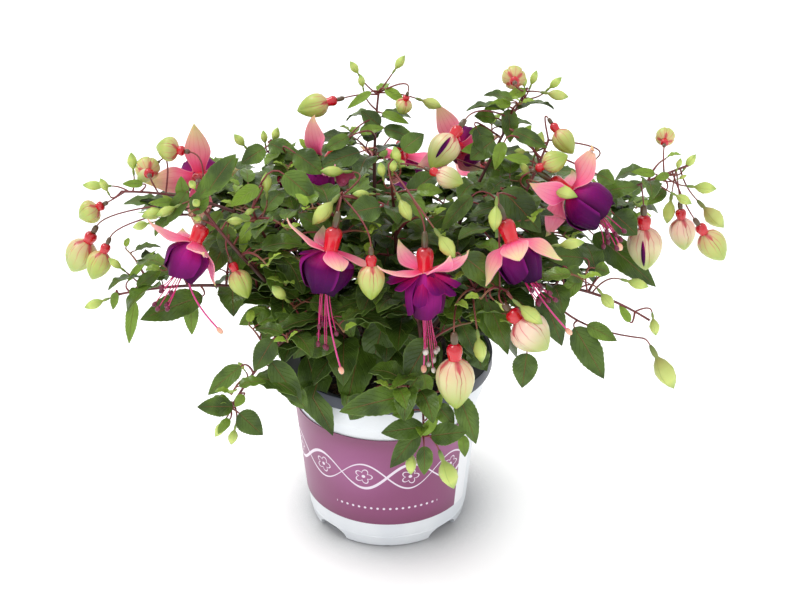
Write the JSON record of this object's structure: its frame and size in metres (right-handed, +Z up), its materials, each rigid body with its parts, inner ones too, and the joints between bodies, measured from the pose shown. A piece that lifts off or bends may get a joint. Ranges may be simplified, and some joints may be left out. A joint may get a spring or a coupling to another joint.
{
  "type": "fuchsia in a hanging bowl stood in a pot",
  "caption": "Flowering fuchsia with arching leafy canes, drooping two-tone flowers and buds, rooted in a dark hanging bowl that stands in a white footed pot with a printed wrap.",
  "frame": {"origin": "middle of the pot's foot, on the surface that it stands on", "axes": "+Z up, -Y towards the side that shows the printed wrap, +X to the right of that view"},
  "size_m": [0.43, 0.2848, 0.318],
  "materials": {
    "pot_plastic": "satin white",
    "label": "satin purple print",
    "bowl_plastic": "dark slate, fine grain",
    "soil": "loose damp compost",
    "foliage": "leaf green with red-brown stems",
    "calyx": "waxy red to cream",
    "corolla": "velvety purple",
    "large_bud": "waxy cream and pink with crimson veins"
  },
  "bodies": {
    "root": {"calyx_back_left": "calyx", "calyx_back_middle": "calyx", "calyx_back_right": "calyx", "calyx_centre": "calyx", "calyx_centre_left": "calyx", "calyx_left_front": "calyx", "calyx_left_high": "calyx", "calyx_right_front": "calyx", "calyx_right_high": "calyx", "calyx_top_left": "calyx", "calyx_top_right": "calyx", "cane_back_left": "foliage", "cane_back_middle": "foliage", "cane_back_right": "foliage", "cane_bottom_left": "foliage", "cane_centre": "foliage", "cane_centre_left": "foliage", "cane_front_hang": "foliage", "cane_left_centre": "foliage", "cane_left_front": "foliage", "cane_left_high": "foliage", "cane_left_low": "foliage", "cane_right_front": "foliage", "cane_right_high": "foliage", "cane_right_low": "foliage", "cane_right_mid": "foliage", "cane_side_left": "foliage", "cane_side_right": "foliage", "cane_top_centre": "foliage", "cane_top_left": "foliage", "cane_top_right": "foliage", "corolla_back_left": "corolla", "corolla_back_middle": "corolla", "corolla_back_right": "corolla", "corolla_centre": "corolla", "corolla_centre_left": "corolla", "corolla_left_front": "corolla", "corolla_left_high": "corolla", "corolla_right_front": "corolla", "corolla_right_high": "corolla", "corolla_top_left": "corolla", "corolla_top_right": "corolla", "hanging_bowl": "bowl_plastic", "large_bud_centre": "large_bud", "large_bud_centre_top": "large_bud", "large_bud_front": "large_bud", "large_bud_left_end": "large_bud", "large_bud_left_front": "large_bud", "large_bud_left_inner": "large_bud", "large_bud_left_top": "large_bud", "large_bud_right_end": "large_bud", "large_bud_right_front": "large_bud", "large_bud_right_inner": "large_bud", "large_bud_right_outer": "large_bud", "large_bud_top_left": "large_bud", "large_bud_top_opening": "large_bud", "outer_pot": "pot_plastic", "pot_label": "label", "soil": "soil"}
  },
  "joints": []
}
